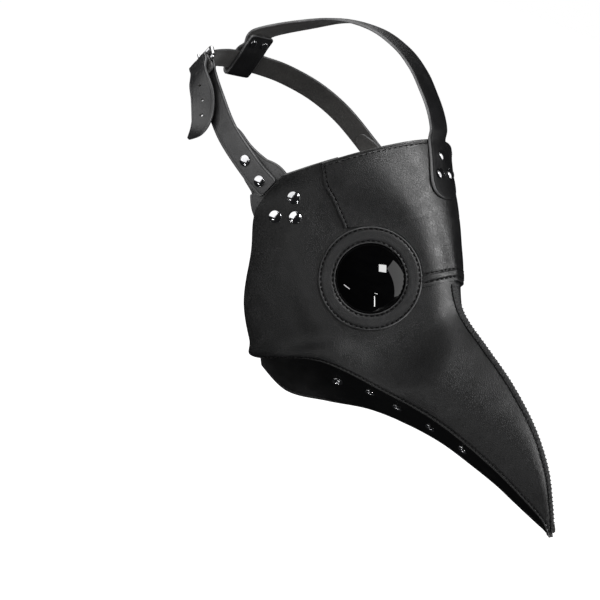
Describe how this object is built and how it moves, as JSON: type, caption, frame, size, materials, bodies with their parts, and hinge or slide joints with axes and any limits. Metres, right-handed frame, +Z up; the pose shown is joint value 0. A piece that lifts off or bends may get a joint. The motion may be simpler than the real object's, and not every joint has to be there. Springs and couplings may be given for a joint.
{
  "type": "plague doctor mask",
  "caption": "Leather plague doctor mask with a long down-curved beak, round dark lenses in sewn rings, a vented underside and a riveted, buckled head harness.",
  "frame": {"origin": "the nose bridge: the point in the middle plane where the wearer's nose bridge meets the inside of the mask", "axes": "-Y straight ahead out of the face, +Z up with the head held level, wearer's right side is -X"},
  "size_m": [0.1633, 0.3459, 0.2403],
  "materials": {
    "leather": "semi-gloss smooth black leather",
    "strap_leather": "satin black strap leather",
    "lining_leather": "matte black lining leather",
    "chrome": "polished nickel plate",
    "lens": "smoked acrylic dome, high gloss"
  },
  "bodies": {
    "mask": {"side_panel_right": "leather", "side_panel_left": "leather", "brow_panel": "leather", "under_panel_right": "leather", "under_panel_left": "leather", "ridge_welt": "leather", "vent_eyelets_right": "chrome", "vent_eyelets_left": "chrome", "eye_ring_right": "leather", "eye_ring_left": "leather", "lens_right": "lens", "lens_left": "lens", "lens_retainer_right": "lining_leather", "lens_retainer_left": "lining_leather", "temple_tab_right": "strap_leather", "temple_tab_left": "strap_leather", "temple_rivets_right": "chrome", "temple_rivets_left": "chrome", "buckle_strap": "strap_leather", "buckle_strap_rivets": "chrome", "back_strap": "strap_leather", "back_strap_rivets": "chrome", "crown_strap": "strap_leather", "forehead_rivets": "chrome", "crown_loop_rivets": "chrome"},
    "buckle": {"buckle_frame": "chrome"},
    "prong": {"buckle_prong": "chrome"},
    "tail": {"strap_tail": "strap_leather"}
  },
  "joints": [
    {"name": "buckle_tilt", "type": "hinge", "parent": "mask", "child": "buckle", "pos_m": [-0.05099, 0.19223, 0.06807], "axis": [0.1757, -0.387, 0.9052], "range_deg": [0, 5]},
    {"name": "prong_swing", "type": "hinge", "parent": "buckle", "child": "prong", "pos_m": [-0.05099, 0.19223, 0.06807], "axis": [0.1757, -0.387, 0.9052], "range_deg": [0, 12]},
    {"name": "tail_lift", "type": "hinge", "parent": "mask", "child": "tail", "pos_m": [-0.05721, 0.19299, 0.0696], "axis": [-0.1757, 0.387, -0.9052], "range_deg": [0, 60], "stiffness_Nm_per_rad": 0.01}
  ]
}
